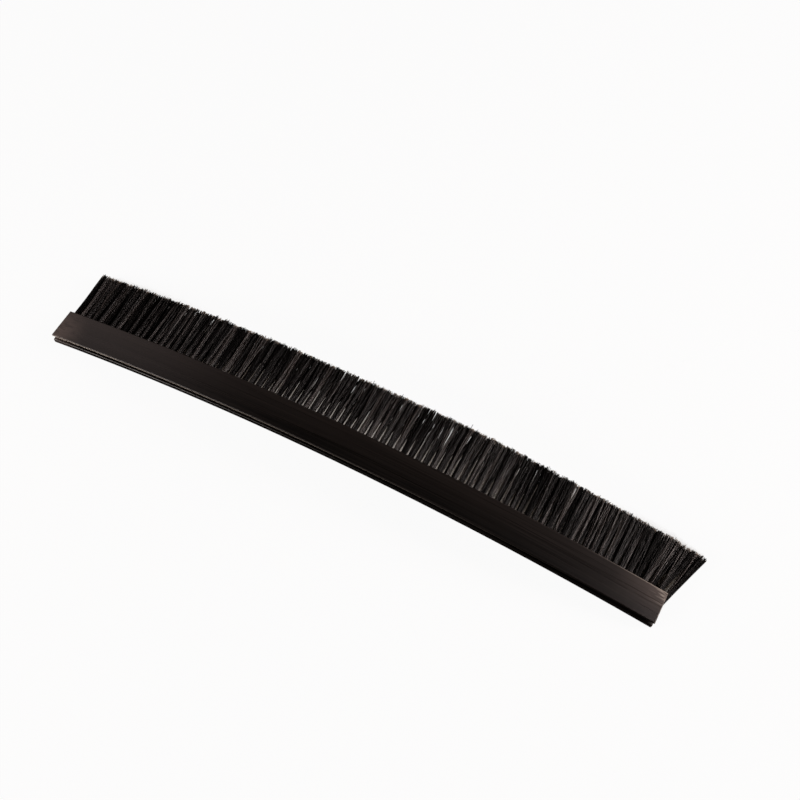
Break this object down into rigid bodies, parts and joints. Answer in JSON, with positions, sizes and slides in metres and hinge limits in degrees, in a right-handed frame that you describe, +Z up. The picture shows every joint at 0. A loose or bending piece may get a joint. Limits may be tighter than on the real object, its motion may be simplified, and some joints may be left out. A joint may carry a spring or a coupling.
{
  "type": "brush seal strip",
  "caption": "Bowed length of black slotted PVC holder with one row of trimmed nylon tufts, for closing a cable slot or a gap.",
  "frame": {"origin": "middle of the bounding box, at ground level", "axes": "+X along the strip towards the sawn end where the last tufts lean out, +Y across it from the slot to the bristle tips, +Z up"},
  "size_m": [0.309, 0.0399, 0.0196],
  "materials": {
    "extruded_pvc": "satin black extruded PVC with fine lines along the strip and pale saw scuffs at the cut ends",
    "nylon_filament": "black nylon monofilament with a soft grey sheen, trimmed to length"
  },
  "bodies": {
    "root": {"holder": "extruded_pvc", "bristle_tufts": "nylon_filament"}
  },
  "joints": []
}
